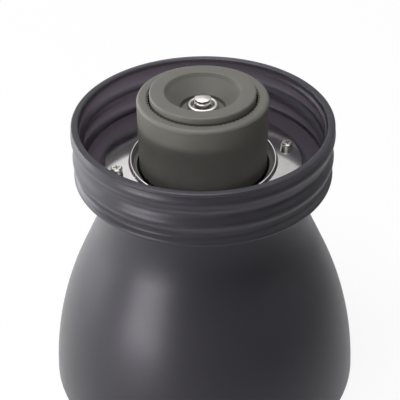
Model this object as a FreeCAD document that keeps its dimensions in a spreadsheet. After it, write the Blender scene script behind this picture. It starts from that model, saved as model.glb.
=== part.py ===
import FreeCAD, Part
import math
import os
import re

import Sketcher
from FreeCAD import Placement, Rotation, Vector

# Grinding head of a jar-type hand mill, standing upside down on the mouth of its hopper.
# Millimetres, +Z up, origin at the middle of the mouth, which is also the shaft's axis.

# Driving sizes. Each is set once here, and everything else is worked out from them.
SIZES = [
    # Moulded hopper: bell, neck and jar collar
    ("mouth_radius", 47),
    ("mouth_edge", 0.8),
    ("lid_wall", 2),
    ("lid_depth", 4),
    ("bell_arc_radius", 110),
    ("bell_arc_height", 40),
    ("cone_angle", 24.5),
    ("shell_wall", 2.2),
    ("neck_radius", 29),
    ("neck_blend", 12),
    ("rim_height", 88),
    ("collar_height", 16.6),
    ("collar_radius", 36),
    ("collar_lip", 2.1),
    ("floor_thickness", 2.3),
    ("rib_pitch", 7),
    ("rib_depth", 0.8),
    ("first_valley", 6.5),
    # Ring burr and its housing
    ("outer_burr_radius", 22.2),
    ("outer_burr_height", 20),
    ("seat_clearance", 0.2),
    ("housing_wall", 1.8),
    ("ledge_thickness", 2),
    ("throat_radius", 17.5),
    ("funnel_clearance", 0.6),
    ("funnel_drop", 8.7),
    ("hub_radius", 6.5),
    ("hub_length", 16),
    ("hub_drop", 3.7),
    ("arm_count", 3),
    ("arm_width", 3),
    ("arm_depth", 6.2),
    ("arm_angle", 90),
    # Plate and its screws
    ("plate_thickness", 0.8),
    ("plate_radius", 27.5),
    ("knob_gap", 2),
    ("plate_lip", 1.2),
    ("screw_circle", 24.5),
    ("screw_angle", 14),
    ("screw_count", 2),
    ("screw_head_radius", 1.65),
    ("screw_head_height", 1.6),
    ("screw_shank_radius", 0.95),
    ("screw_length", 9),
    ("screw_hole_clearance", 0.15),
    ("screw_boss_radius", 2),
    ("recess_width", 0.5),
    ("recess_depth", 0.8),
    # Shaft line
    ("shaft_radius", 3),
    ("shaft_foot", 6),
    ("shaft_across_flats", 5),
    ("crank_hex_length", 12),
    ("running_clearance", 0.05),
    ("bush_wall", 1),
    ("bush_length", 7),
    ("flange_radius", 5.5),
    ("flange_thickness", 0.8),
    ("washer_thickness", 0.8),
    ("shaft_collar_radius", 5),
    ("shaft_collar_height", 1.2),
    ("clip_thickness", 0.8),
    ("clip_groove_depth", 0.7),
    ("clip_radius", 4.6),
    ("clip_opening", 3),
    # Spring between the collar and the cone
    ("spring_radius", 4.2),
    ("spring_wire", 0.9),
    ("spring_length", 13.2),
    ("spring_turns", 6),
    ("spring_end_clearance", 0.1),
    # Cone burr and its insert
    ("cone_base_radius", 17.6),
    ("knee_taper", 1.6),
    ("cone_tip_radius", 7.5),
    ("cone_height", 17.4),
    ("finish_height", 5),
    ("cone_base_drop", 0.3),
    ("grind_gap", 0.84),
    ("burr_travel", 2),
    ("inlet_step", 0.4),
    ("insert_radius", 6),
    ("spring_pocket_radius", 5.6),
    ("flute_count", 9),
    ("flute_depth", 1.2),
    ("flute_twist", 50),
    ("fine_tooth_count", 36),
    ("fine_tooth_depth", 0.6),
    ("fine_tooth_twist", 10),
    # Knob and what it carries
    ("knob_overhang", 0.2),
    ("knob_height", 20),
    ("knob_edge", 1.4),
    ("knob_washer_thickness", 0.5),
    ("knob_washer_radius", 13),
    ("knob_cup_depth", 5.6),
    ("knob_web", 2.3),
    ("knob_wall", 2.4),
    ("knob_hub_wall", 3),
    ("serration_wall", 3.1),
    ("serration_depth", 0.4),
    ("serration_count", 72),
    ("nut_radius", 5.5),
    ("nut_length", 12),
    # Index disc in the top of the knob
    ("disc_gap", 0.4),
    ("disc_proud", 2.5),
    ("disc_edge", 0.5),
    ("disc_lift", 0.6),
    ("disc_skirt", 0.8),
    ("click_groove", 1.7),
    ("click_groove_depth", 1.7),
    ("dish_radius", 10.15),
    ("dish_edge", 0.8),
    ("dish_depth", 4.8),
    ("counterbore_radius", 6.2),
    ("disc_web", 1.6),
    ("click_band", 0.35),
    ("click_clearance", 0.1),
    ("click_nose_radius", 0.25),
    ("click_nose_reach", 0.1),
    ("tip_radius", 2.3),
    ("tip_drop", 0.4),
    ("tip_chamfer", 0.5),
    ("tip_groove_width", 0.6),
    ("tip_groove_depth", 0.4),
    ("tip_groove_drop", 1.2),
    ("cap_bush_radius", 4.2),
    ("cap_bush_height", 3.7),
    ("cap_bush_bore", 3),
    ("cap_bush_seat", 2.1),
    ("tip_clip_thickness", 0.5),
    ("tip_clip_clearance", 0.1),
    ("tip_clip_opening", 1.8),
]

# Heights and radii that follow from the driving sizes.
DERIVED = {
    "arc_z": "bell_arc_height - bell_arc_radius * sin(cone_angle * 1deg)",
    "arc_r": "mouth_radius - sqrt(bell_arc_radius^2 - arc_z^2)",
    "inner_arc_radius": "bell_arc_radius - shell_wall",
    "neck_bore": "neck_radius - shell_wall",
    "blend_tangent": "neck_blend * tan(cone_angle * 0.5deg)",
    "inner_tangent": "(neck_blend + shell_wall) * tan(cone_angle * 0.5deg)",
    "bell_r": "arc_r + bell_arc_radius * cos(cone_angle * 1deg)",
    "inner_bell_r": "arc_r + inner_arc_radius * cos(cone_angle * 1deg)",
    "inner_bell_z": "arc_z + inner_arc_radius * sin(cone_angle * 1deg)",
    "neck_z": "bell_arc_height + (bell_r - neck_radius) / tan(cone_angle * 1deg)",
    "inner_neck_z": "inner_bell_z + (inner_bell_r - neck_bore) / tan(cone_angle * 1deg)",
    "lid_radius": "mouth_radius - lid_wall",
    "collar_foot": "rim_height - collar_height",
    "floor_top": "collar_foot + floor_thickness",
    "rib_radius": "(rib_pitch^2 / 4 + rib_depth^2) / (2 * rib_depth)",
    "valley_r": "collar_radius - rib_depth",
    "first_valley_z": "rim_height - first_valley",
    "second_valley_z": "first_valley_z - rib_pitch",
    "foot_rib": "second_valley_z - collar_foot",
    "foot_rib_radius": "(foot_rib^2 / 4 + rib_depth^2) / (2 * rib_depth)",
    "lip_z": "rim_height - collar_lip / 2",
    "lip_r": "collar_radius - rib_radius + sqrt(rib_radius^2 - (lip_z - first_valley_z - rib_pitch / 2)^2)",
    "pocket_radius": "outer_burr_radius + seat_clearance",
    "ring_foot": "floor_top - outer_burr_height",
    "housing_radius": "pocket_radius + housing_wall",
    "ledge_foot": "ring_foot - ledge_thickness",
    "hub_top": "ring_foot - hub_drop",
    "funnel_rim_height": "ring_foot - funnel_drop",
    "funnel_wall_r": "inner_bell_r - (funnel_rim_height - inner_bell_z) * tan(cone_angle * 1deg)",
    "funnel_rim_radius": "funnel_wall_r - funnel_clearance",
    "plate_top": "floor_top + plate_thickness",
    "hub_foot": "hub_top - hub_length",
    "bush_bore": "shaft_radius + running_clearance",
    "bush_radius": "bush_bore + bush_wall",
    "washer_foot": "hub_top + flange_thickness",
    "shaft_collar_foot": "washer_foot + washer_thickness",
    "spring_foot": "shaft_collar_foot + shaft_collar_height",
    "insert_foot": "spring_foot + spring_length",
    "flats_foot": "insert_foot - 2 * burr_travel",
    "clip_top": "hub_foot - flange_thickness",
    "clip_foot": "clip_top - clip_thickness",
    "cone_base": "floor_top - cone_base_drop",
    "cone_knee": "cone_base - finish_height",
    "cone_tip": "cone_base - cone_height",
    "cone_knee_radius": "cone_base_radius - knee_taper",
    "inlet_radius": "cone_knee_radius - inlet_step",
    "knob_foot": "cone_base + knob_washer_thickness",
    "knob_top": "knob_foot + knob_height",
    "knob_radius": "cone_base_radius + knob_overhang",
    "plate_hole_radius": "knob_radius + knob_gap",
    "serration_radius": "knob_radius - serration_wall",
    "disc_radius": "serration_radius - disc_gap",
    "disc_top": "knob_top + disc_proud",
    "tip_top": "disc_top - tip_drop",
    "cup_floor": "knob_top - knob_cup_depth",
    "disc_foot": "cup_floor + disc_lift",
    "groove_foot": "disc_foot + disc_skirt",
    "groove_top": "groove_foot + click_groove",
    "groove_radius": "disc_radius - click_groove_depth",
    "dish_foot": "disc_top - dish_depth",
    "disc_web_top": "disc_foot + disc_web",
    "flat_half": "shaft_across_flats / 2",
    "tip_clip_foot": "disc_foot + cap_bush_seat",
    "tip_groove_top": "tip_top - tip_groove_drop",
}

doc = FreeCAD.newDocument("hand_mill_head")
sheet = doc.addObject("Spreadsheet::Sheet", "Sizes")
for row, (alias, number) in enumerate(SIZES, start=1):
    sheet.set("A%d" % row, alias)
    sheet.set("B%d" % row, str(number))
    sheet.setAlias("B%d" % row, alias)
doc.recompute()
ALIASES = {alias for alias, number in SIZES}


def bound(text):
    """An expression in the sheet's own cells, from a text that uses plain size names."""
    def swap(match):
        word = match.group(0)
        if word in ALIASES:
            return "Sizes." + word
        if word in DERIVED:
            return "(" + bound(DERIVED[word]) + ")"
        return word
    return re.sub(r"[a-z][a-z_]+", swap, str(text))


def value(text):
    """The number that an expression gives now."""
    return float(sheet.evalExpression(bound(text)))


def whole(alias):
    return int(round(value(alias)))


def new_body(name):
    body = doc.addObject("PartDesign::Body", name)
    body.Label = name
    return body


def origin_feature(body, role):
    return [item for item in body.Origin.OriginFeatures if item.Role == role][0]


def new_sketch(body, name, role, lift=None):
    sketch = body.newObject("Sketcher::SketchObject", name)
    sketch.AttachmentSupport = (origin_feature(body, role), [""])
    sketch.MapMode = "FlatFace"
    if lift is not None:
        sketch.setExpression("AttachmentOffset.Base.z", bound(lift))
    return sketch


def arc_between(start, end, radius, side):
    """Circle arc from start to end, with its centre left (side 1) or right (side -1) of the way."""
    chord = end - start
    half = chord.Length / 2
    normal = Vector(-chord.y, chord.x, 0).normalize()
    centre = start + chord * 0.5 + normal * (side * math.sqrt(max(radius * radius - half * half, 0)))
    first, last = (start, end) if side > 0 else (end, start)
    from_angle = math.atan2(first.y - centre.y, first.x - centre.x)
    to_angle = math.atan2(last.y - centre.y, last.x - centre.x)
    return Part.ArcOfCircle(Part.Circle(centre, Vector(0, 0, 1), radius), from_angle, to_angle)


def draw(sketch, outline):
    """Close an outline of (x, y) or (x, y, radius, side) corners, bound to the sheet.

    The third and fourth items of a corner make the stretch that leaves it an arc.
    """
    corners = [Vector(value(item[0]), value(item[1]), 0) for item in outline]
    ends = []
    for index, item in enumerate(outline):
        start = corners[index]
        end = corners[(index + 1) % len(outline)]
        if len(item) == 2:
            sketch.addGeometry(Part.LineSegment(start, end), False)
            ends.append((1, 2))
        else:
            sketch.addGeometry(arc_between(start, end, value(item[2]), item[3]), False)
            ends.append((1, 2) if item[3] > 0 else (2, 1))
    for index, item in enumerate(outline):
        following = (index + 1) % len(outline)
        sketch.addConstraint(
            Sketcher.Constraint("Coincident", index, ends[index][1], following, ends[following][0]))
    for index, item in enumerate(outline):
        corner = corners[index]
        for kind, text, number in (("DistanceX", item[0], corner.x), ("DistanceY", item[1], corner.y)):
            place = sketch.addConstraint(Sketcher.Constraint(kind, -1, 1, index, ends[index][0], number))
            sketch.setExpression("Constraints[%d]" % place, bound(text))
        if len(item) > 2:
            place = sketch.addConstraint(Sketcher.Constraint("Radius", index, value(item[2])))
            sketch.setExpression("Constraints[%d]" % place, bound(item[2]))
    return sketch


def turned(name, outline):
    """A body turned about the shaft's axis from an outline of (radius, height) corners."""
    body = new_body(name)
    sketch = draw(new_sketch(body, name + "_outline", "XZ_Plane"), outline)
    turn = body.newObject("PartDesign::Revolution", name + "_turned")
    turn.Profile = sketch
    turn.ReferenceAxis = (sketch, ["V_Axis"])
    turn.Angle = 360
    return body


def ring(name, inner, outer, foot, top):
    return turned(name, [(inner, foot), (outer, foot), (outer, top), (inner, top)])


def around(body, feature, count):
    """Repeat a cut of a body evenly about the axis."""
    pattern = body.newObject("PartDesign::PolarPattern", feature.Name + "_ring")
    pattern.Originals = [feature]
    pattern.Axis = (origin_feature(body, "Z_Axis"), [""])
    pattern.Angle = 360
    pattern.setExpression("Occurrences", bound(count))
    body.Tip = pattern


def cut_box(body, name, size, place):
    """A box cut out of a body: size and lowest corner as expressions."""
    box = body.newObject("PartDesign::SubtractiveBox", name)
    for side, text in zip(("Length", "Width", "Height"), size):
        box.setExpression(side, bound(text))
    for axis, text in zip("xyz", place):
        box.setExpression("Placement.Base." + axis, bound(text))
    return box


def notch(body, name, lift, tip, mouth, half_width, turn):
    """One section of a tooth gap: a triangle with its tip in the wall, turned about the axis."""
    cosine = "cos((%s) * 1deg)" % turn
    sine = "sin((%s) * 1deg)" % turn
    corners = [(tip, "0"), (mouth, half_width), (mouth, "-(%s)" % half_width)]
    outline = []
    for x, y in corners:
        across = "(%s) * %s - (%s) * %s" % (x, cosine, y, sine)
        along = "(%s) * %s + (%s) * %s" % (x, sine, y, cosine)
        outline.append((across, along))
    return draw(new_sketch(body, name, "XY_Plane", lift), outline)


def cut_flutes(body, name, first, last, count):
    """Spiral tooth gaps: a ruled cut between two turned sections, repeated about the axis."""
    lower = notch(body, name + "_lower", *first)
    upper = notch(body, name + "_upper", *last)
    flute = body.newObject("PartDesign::SubtractiveLoft", name)
    flute.Profile = lower
    flute.Sections = [upper]
    flute.Ruled = True
    around(body, flute, count)


def primitive(kind, name, sizes, place=(), turn=None):
    item = doc.addObject(kind, name)
    for side, text in sizes.items():
        item.setExpression(side, bound(text))
    if turn is not None:
        item.Placement = Placement(Vector(), Rotation(Vector(0, 0, 1), turn))
    for axis, text in zip("xyz", place):
        item.setExpression("Placement.Base." + axis, bound(text))
    return item


def joined(kind, name, base, tool):
    item = doc.addObject(kind, name)
    item.Base = base
    item.Tool = tool
    return item


def group(name, items):
    item = doc.addObject("Part::Compound", name)
    item.Links = items
    return item


def screw_place(index):
    """Where a plate screw stands, as expressions."""
    turn = "(screw_angle + %d * 360 / screw_count) * 1deg" % index
    return "screw_circle * cos(%s)" % turn, "screw_circle * sin(%s)" % turn


def screw_holes(name, radius, foot, length):
    holes = []
    for index in range(whole("screw_count")):
        x, y = screw_place(index)
        sizes = {"Radius": radius, "Height": length}
        holes.append(primitive("Part::Cylinder", "%s_%d" % (name, index + 1), sizes, (x, y, foot)))
    return group(name, holes)


def hopper_shell():
    outline = [
        ("mouth_radius - mouth_edge", "0", "mouth_edge", 1),
        ("arc_r + sqrt(bell_arc_radius^2 - (mouth_edge - arc_z)^2)", "mouth_edge", "bell_arc_radius", 1),
        ("bell_r", "bell_arc_height"),
        ("neck_radius + blend_tangent * sin(cone_angle * 1deg)",
         "neck_z - blend_tangent * cos(cone_angle * 1deg)", "neck_blend", -1),
        ("neck_radius", "neck_z + blend_tangent"),
        ("neck_radius", "collar_foot"),
        ("valley_r", "collar_foot", "foot_rib_radius", 1),
        ("valley_r", "second_valley_z", "rib_radius", 1),
        ("valley_r", "first_valley_z", "rib_radius", 1),
        ("lip_r", "lip_z", "collar_lip / 2", 1),
        ("lip_r - collar_lip / 2", "rim_height", "collar_lip / 2", 1),
        ("lip_r - collar_lip", "lip_z"),
        ("lip_r - collar_lip", "floor_top"),
        ("pocket_radius", "floor_top"),
        ("pocket_radius", "collar_foot"),
        ("neck_bore", "collar_foot"),
        ("neck_bore", "inner_neck_z + inner_tangent", "neck_blend + shell_wall", 1),
        ("neck_bore + inner_tangent * sin(cone_angle * 1deg)",
         "inner_neck_z - inner_tangent * cos(cone_angle * 1deg)"),
        ("inner_bell_r", "inner_bell_z", "inner_arc_radius", -1),
        ("arc_r + sqrt(inner_arc_radius^2 - (lid_depth - arc_z)^2)", "lid_depth"),
        ("lid_radius", "lid_depth"),
        ("lid_radius", "0"),
    ]
    blank = turned("hopper_blank", outline)
    holes = screw_holes("hopper_screw_holes", "screw_shank_radius + screw_hole_clearance",
                        "collar_foot - floor_thickness", "3 * floor_thickness")
    return joined("Part::Cut", "hopper_shell", blank, holes)


def burr_housing():
    outline = [
        ("pocket_radius", "collar_foot"),
        ("pocket_radius", "ring_foot"),
        ("throat_radius", "ring_foot"),
        ("throat_radius", "ledge_foot"),
        ("funnel_rim_radius - housing_wall", "funnel_rim_height"),
        ("funnel_rim_radius", "funnel_rim_height"),
        ("housing_radius", "ring_foot + housing_wall"),
        ("housing_radius", "collar_foot"),
    ]
    funnel = turned("housing_funnel", outline)
    pieces = [funnel]
    hub = {"Radius": "hub_radius", "Height": "hub_length"}
    pieces.append(primitive("Part::Cylinder", "housing_hub", hub, ("0", "0", "hub_foot")))
    for index in range(whole("arm_count")):
        turn = value("arm_angle + %d * 360 / arm_count" % index)
        sizes = {"Length": "throat_radius + ledge_thickness", "Width": "arm_width", "Height": "arm_depth"}
        across = ("arm_width / 2 * sin(%.9f * 1deg)" % turn, "-arm_width / 2 * cos(%.9f * 1deg)" % turn)
        place = across + ("ring_foot - ledge_thickness / 2 - arm_depth",)
        pieces.append(primitive("Part::Box", "housing_arm_%d" % (index + 1), sizes, place, turn))
    bosses = screw_holes("housing_bosses", "screw_boss_radius", "collar_foot - screw_length", "screw_length")
    pieces.append(bosses)
    body = doc.addObject("Part::MultiFuse", "housing_moulding")
    body.Shapes = pieces
    bore = {"Radius": "bush_radius", "Height": "3 * hub_length"}
    openings = [primitive("Part::Cylinder", "housing_bore", bore, ("0", "0", "hub_foot - hub_length"))]
    recess = {"Radius": "hub_radius", "Height": "arm_depth"}
    openings.append(primitive("Part::Cylinder", "housing_recess", recess, ("0", "0", "hub_top")))
    pocket = {"Radius": "pocket_radius", "Height": "outer_burr_height"}
    openings.append(primitive("Part::Cylinder", "housing_pocket", pocket, ("0", "0", "ring_foot")))
    openings.append(screw_holes("housing_pilots", "screw_shank_radius", "collar_foot - screw_length",
                                "2 * screw_length"))
    return joined("Part::Cut", "burr_housing", body, group("housing_openings", openings))


def outer_burr():
    """Ring burr: a steep inlet, then a finishing zone that runs beside the cone's."""
    slope = "(cone_base_radius - cone_knee_radius) / finish_height"
    outlet = "cone_base_radius + grind_gap + cone_base_drop * %s" % slope
    knee = "cone_knee_radius + grind_gap"
    body = turned("outer_burr", [
        ("inlet_radius", "ring_foot"),
        ("outer_burr_radius", "ring_foot"),
        ("outer_burr_radius", "floor_top"),
        (outlet, "floor_top"),
        (knee, "cone_knee"),
    ])
    overrun = "fine_tooth_depth"
    mouth = "inlet_radius - flute_depth"
    cut_flutes(body, "ring_flute",
               ("ring_foot - %s" % overrun, "inlet_radius + 2 * flute_depth", mouth, "2 * flute_depth", "0"),
               ("cone_knee", "%s + fine_tooth_depth / 2" % knee, mouth, "flute_depth", "-flute_twist / 2"),
               "flute_count")
    cut_flutes(body, "ring_tooth",
               ("cone_knee - %s" % overrun, "%s + fine_tooth_depth / 2" % knee, mouth,
                "fine_tooth_depth", "0"),
               ("floor_top + %s" % overrun, "%s + fine_tooth_depth" % outlet, mouth,
                "fine_tooth_depth * 1.2", "-fine_tooth_twist"),
               "fine_tooth_count")
    return body


def burr_plate():
    hole = "plate_hole_radius"
    lip_top = "plate_top + plate_lip"
    blank = turned("plate_blank", [
        (hole, "floor_top"),
        ("plate_radius", "floor_top"),
        ("plate_radius", "plate_top"),
        (hole + " + plate_thickness", "plate_top"),
        (hole + " + plate_thickness", lip_top + " - plate_thickness / 2", "plate_thickness / 2", 1),
        (hole + " + plate_thickness / 2", lip_top, "plate_thickness / 2", 1),
        (hole, lip_top + " - plate_thickness / 2"),
    ])
    holes = screw_holes("plate_screw_holes", "screw_shank_radius + screw_hole_clearance",
                        "floor_top - plate_thickness", "3 * plate_thickness")
    return joined("Part::Cut", "burr_plate", blank, holes)


def plate_screws():
    """Round-headed screws with a cross recess, all in one node."""
    dome = "screw_head_height / 3"
    head_top = "plate_top + screw_head_height"
    screws = []
    for index in range(whole("screw_count")):
        name = "plate_screw_%d" % (index + 1)
        body = turned(name, [
            ("0", "collar_foot - screw_length + screw_shank_radius"),
            ("screw_shank_radius", "collar_foot - screw_length + 2 * screw_shank_radius"),
            ("screw_shank_radius", "plate_top"),
            ("screw_head_radius", "plate_top"),
            ("screw_head_radius", head_top + " - " + dome, dome, 1),
            ("screw_head_radius - " + dome, head_top),
            ("0", head_top),
        ])
        span = "1.3 * screw_head_radius"
        for side, size in (("x", (span, "recess_width")), ("y", ("recess_width", span))):
            place = ["-(%s) / 2" % size[0], "-(%s) / 2" % size[1], head_top + " - recess_depth"]
            body.Tip = cut_box(body, "%s_recess_%s" % (name, side), size + ("2 * recess_depth",), place)
        for axis, text in zip("xy", screw_place(index)):
            body.setExpression("Placement.Base." + axis, bound(text))
        screws.append(body)
    return group("plate_screws", screws)


def flanged_bush(name, foot, top, flange_low):
    """A plain bush with its flange below foot or above top."""
    low = "%s - flange_thickness" % foot
    high = "%s + flange_thickness" % top
    if flange_low:
        outline = [("bush_bore", low), ("flange_radius", low), ("flange_radius", foot),
                   ("bush_radius", foot), ("bush_radius", top), ("bush_bore", top)]
    else:
        outline = [("bush_bore", foot), ("bush_radius", foot), ("bush_radius", top),
                   ("flange_radius", top), ("flange_radius", high), ("bush_bore", high)]
    return turned(name, outline)


def drive_shaft():
    groove = "shaft_radius - clip_groove_depth"
    tip_groove = "tip_radius - tip_groove_depth"
    body = turned("drive_shaft", [
        ("0", "shaft_foot"),
        ("shaft_radius - tip_chamfer", "shaft_foot"),
        ("shaft_radius", "shaft_foot + tip_chamfer"),
        ("shaft_radius", "clip_foot"),
        (groove, "clip_foot"),
        (groove, "clip_top"),
        ("shaft_radius", "clip_top"),
        ("shaft_radius", "shaft_collar_foot"),
        ("shaft_collar_radius", "shaft_collar_foot"),
        ("shaft_collar_radius", "spring_foot"),
        ("shaft_radius", "spring_foot"),
        ("shaft_radius", "disc_foot"),
        ("tip_radius", "disc_foot"),
        ("tip_radius", "tip_clip_foot"),
        (tip_groove, "tip_clip_foot"),
        (tip_groove, "tip_clip_foot + tip_clip_thickness"),
        ("tip_radius", "tip_clip_foot + tip_clip_thickness"),
        ("tip_radius", "tip_groove_top - tip_groove_width"),
        (tip_groove, "tip_groove_top - tip_groove_width"),
        (tip_groove, "tip_groove_top"),
        ("tip_radius", "tip_groove_top"),
        ("tip_radius", "tip_top - tip_chamfer"),
        ("tip_radius - tip_chamfer", "tip_top"),
        ("0", "tip_top"),
    ])
    side = "2 * shaft_radius"
    hexagon = cut_box(body, "crank_flat", (side, side, "crank_hex_length + shaft_foot"),
                      ("flat_half", "-shaft_radius", "0"))
    around(body, hexagon, "6")
    flats = cut_box(body, "thread_flat", (side, side, "disc_foot - flats_foot"),
                    ("-shaft_radius", "flat_half", "flats_foot"))
    around(body, flats, "2")
    return body


def open_ring(name, inner, outer, foot, thickness, opening):
    """A washer with a slot from its bore to its rim, as a clip that is pushed on from the side."""
    body = ring(name, inner, outer, foot, "%s + %s" % (foot, thickness))
    body.Tip = cut_box(body, name + "_slot", ("2 * (%s)" % outer, opening, "3 * (%s)" % thickness),
                       ("0", "-(%s) / 2" % opening, "%s - %s" % (foot, thickness)))
    return body


def burr_spring():
    """Compression spring: one wire along a helix, two tangent arcs for each quarter turn."""
    wire = value("spring_wire")
    radius = value("spring_radius")
    turns = whole("spring_turns")
    foot = value("spring_foot + spring_end_clearance") + wire / 2
    rise = value("spring_length - 2 * spring_end_clearance") - wire
    steps = 4 * turns

    def on_helix(step):
        turn = step * math.pi / 2
        point = Vector(radius * math.cos(turn), radius * math.sin(turn), foot + rise * step / steps)
        way = Vector(-math.sin(turn), math.cos(turn), rise / (2 * math.pi * turns * radius))
        return point, way.normalize()

    def arc(start, corner, end):
        chord = (end - start).normalize()
        weight = (corner - start).normalize().dot(chord)
        middle = (start + corner * (2 * weight) + end) * (1 / (2 + 2 * weight))
        return Part.Arc(start, middle, end).toShape()

    edges = []
    for step in range(steps):
        start, start_way = on_helix(step)
        end, end_way = on_helix(step + 1)
        span = end - start
        both = start_way + end_way
        square = 4 - both.dot(both)
        along = span.dot(both)
        reach = (math.sqrt(along * along + square * span.dot(span)) - along) / square
        first_corner = start + start_way * reach
        second_corner = end - end_way * reach
        joint = (first_corner + second_corner) * 0.5
        edges.append(arc(start, first_corner, joint))
        edges.append(arc(joint, second_corner, end))
    path = Part.Wire(edges)
    start, way = on_helix(0)
    section = Part.Wire([Part.makeCircle(wire / 2, start, way)])
    item = doc.addObject("Part::Feature", "burr_spring")
    item.Shape = path.makePipeShell([section], True, False)

    sampled = [on_helix(step / 6)[0] for step in range(6 * steps + 1)]
    pairs = [(here, there) for i, here in enumerate(sampled) for there in sampled[i + 13:]]
    gap = min((here - there).Length for here, there in pairs)
    print("burr_spring: least gap between turns %.2f mm" % (gap - wire))
    return item


def click_disc():
    return turned("click_disc", [
        ("cap_bush_radius", "disc_foot"),
        ("disc_radius", "disc_foot"),
        ("disc_radius", "groove_foot"),
        ("groove_radius", "groove_foot"),
        ("groove_radius", "groove_top"),
        ("disc_radius", "groove_top"),
        ("disc_radius", "disc_top - disc_edge", "disc_edge", 1),
        ("disc_radius - disc_edge", "disc_top"),
        ("dish_radius + dish_edge", "disc_top", "2 * dish_edge", 1),
        ("dish_radius - dish_edge / 2", "disc_top - dish_edge"),
        ("counterbore_radius", "dish_foot"),
        ("counterbore_radius", "disc_web_top"),
        ("cap_bush_radius", "disc_web_top"),
    ])


def click_spring():
    """Open spring band in the disc's groove, with a nose on each side for the knob's serrations."""
    inner = "groove_radius + click_clearance"
    outer = "groove_radius + click_clearance + click_band"
    foot = "groove_foot + click_clearance"
    height = "click_groove - 2 * click_clearance"
    band = open_ring("click_band_ring", inner, outer, foot, height, "4 * click_nose_radius")
    reach = "serration_radius + click_nose_reach"
    pieces = [band]
    for index in range(2):
        name = "click_nose_%d" % (index + 1)
        side = "%d" % (1 - 2 * index)
        sizes = {"Radius": "click_nose_radius", "Height": height}
        pieces.append(primitive("Part::Cylinder", name, sizes,
                                ("0", "%s * (%s - click_nose_radius)" % (side, reach), foot)))
        stem = {"Length": "2 * click_nose_radius", "Height": height,
                "Width": "%s - click_nose_radius - (%s) + click_band / 2" % (reach, outer)}
        corner = "%s - click_band / 2" % outer if index == 0 else "-(%s - click_nose_radius)" % reach
        pieces.append(primitive("Part::Box", "click_stem_%d" % (index + 1), stem,
                                ("-click_nose_radius", corner, foot)))
    item = doc.addObject("Part::MultiFuse", "click_spring")
    item.Shapes = pieces
    return item


def cap_bush():
    top = "disc_foot + cap_bush_height"
    round_over = "(cap_bush_radius - cap_bush_bore) / 2"
    return turned("cap_bush", [
        ("tip_radius + running_clearance", "disc_foot"),
        ("cap_bush_radius", "disc_foot"),
        ("cap_bush_radius", "%s - %s" % (top, round_over), round_over, 1),
        ("cap_bush_radius - %s" % round_over, top, round_over, 1),
        ("cap_bush_bore", "%s - %s" % (top, round_over)),
        ("cap_bush_bore", "tip_clip_foot"),
        ("tip_radius + running_clearance", "tip_clip_foot"),
    ])


def inner_burr():
    body = turned("inner_burr", [
        ("spring_pocket_radius", "cone_tip"),
        ("cone_tip_radius", "cone_tip"),
        ("cone_knee_radius", "cone_knee"),
        ("cone_base_radius", "cone_base"),
        ("insert_radius", "cone_base"),
        ("insert_radius", "insert_foot"),
        ("spring_pocket_radius", "insert_foot"),
    ])
    overrun = "fine_tooth_depth"
    cut_flutes(body, "cone_flute",
               ("cone_tip - %s" % overrun, "cone_tip_radius - flute_depth",
                "cone_tip_radius + 2 * flute_depth", "3 * flute_depth", "0"),
               ("cone_base + %s" % overrun, "cone_base_radius - fine_tooth_depth",
                "cone_base_radius + 4 * flute_depth", "3 * flute_depth", "flute_twist"),
               "flute_count")
    cut_flutes(body, "cone_tooth",
               ("cone_knee - %s" % overrun, "cone_knee_radius - fine_tooth_depth / 2",
                "cone_base_radius + flute_depth", "1.5 * fine_tooth_depth", "0"),
               ("cone_base + %s" % overrun, "cone_base_radius - fine_tooth_depth",
                "cone_base_radius + flute_depth", "1.5 * fine_tooth_depth", "fine_tooth_twist"),
               "fine_tooth_count")
    return body


def burr_insert():
    """Glued into the cone, with a bore that slides on the shaft's two flats."""
    height = "cone_base - insert_foot"
    blank = {"Radius": "insert_radius - running_clearance", "Height": height}
    outside = primitive("Part::Cylinder", "insert_blank", blank, ("0", "0", "insert_foot"))
    bore = primitive("Part::Cylinder", "insert_bore", {"Radius": "bush_bore", "Height": "3 * (%s)" % height},
                     ("0", "0", "insert_foot - (%s)" % height))
    width = "shaft_across_flats + 2 * running_clearance"
    flats = primitive("Part::Box", "insert_flats",
                      {"Length": "4 * bush_bore", "Width": width, "Height": "3 * (%s)" % height},
                      ("-2 * bush_bore", "-(%s) / 2" % width, "insert_foot - (%s)" % height))
    opening = joined("Part::Common", "insert_opening", bore, flats)
    return joined("Part::Cut", "burr_insert", outside, opening)


def adjuster_knob():
    body = turned("adjuster_knob", [
        ("nut_radius", "knob_foot"),
        ("nut_radius + knob_hub_wall", "knob_foot"),
        ("nut_radius + knob_hub_wall", "cup_floor - knob_web"),
        ("knob_radius - knob_wall", "cup_floor - knob_web"),
        ("knob_radius - knob_wall", "knob_foot"),
        ("knob_radius", "knob_foot"),
        ("knob_radius", "knob_top - knob_edge", "knob_edge", 1),
        ("knob_radius - knob_edge", "knob_top"),
        ("serration_radius", "knob_top"),
        ("serration_radius", "cup_floor"),
        ("nut_radius", "cup_floor"),
    ])
    tip = "serration_radius + serration_depth"
    mouth = "serration_radius - serration_depth"
    section = notch(body, "serration_section", "cup_floor", tip, mouth, "1.2 * serration_depth", "0")
    gap = body.newObject("PartDesign::Pocket", "serration")
    gap.Profile = section
    gap.Reversed = True
    gap.setExpression("Length", bound("2 * knob_cup_depth"))
    around(body, gap, "serration_count")
    return body


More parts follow.
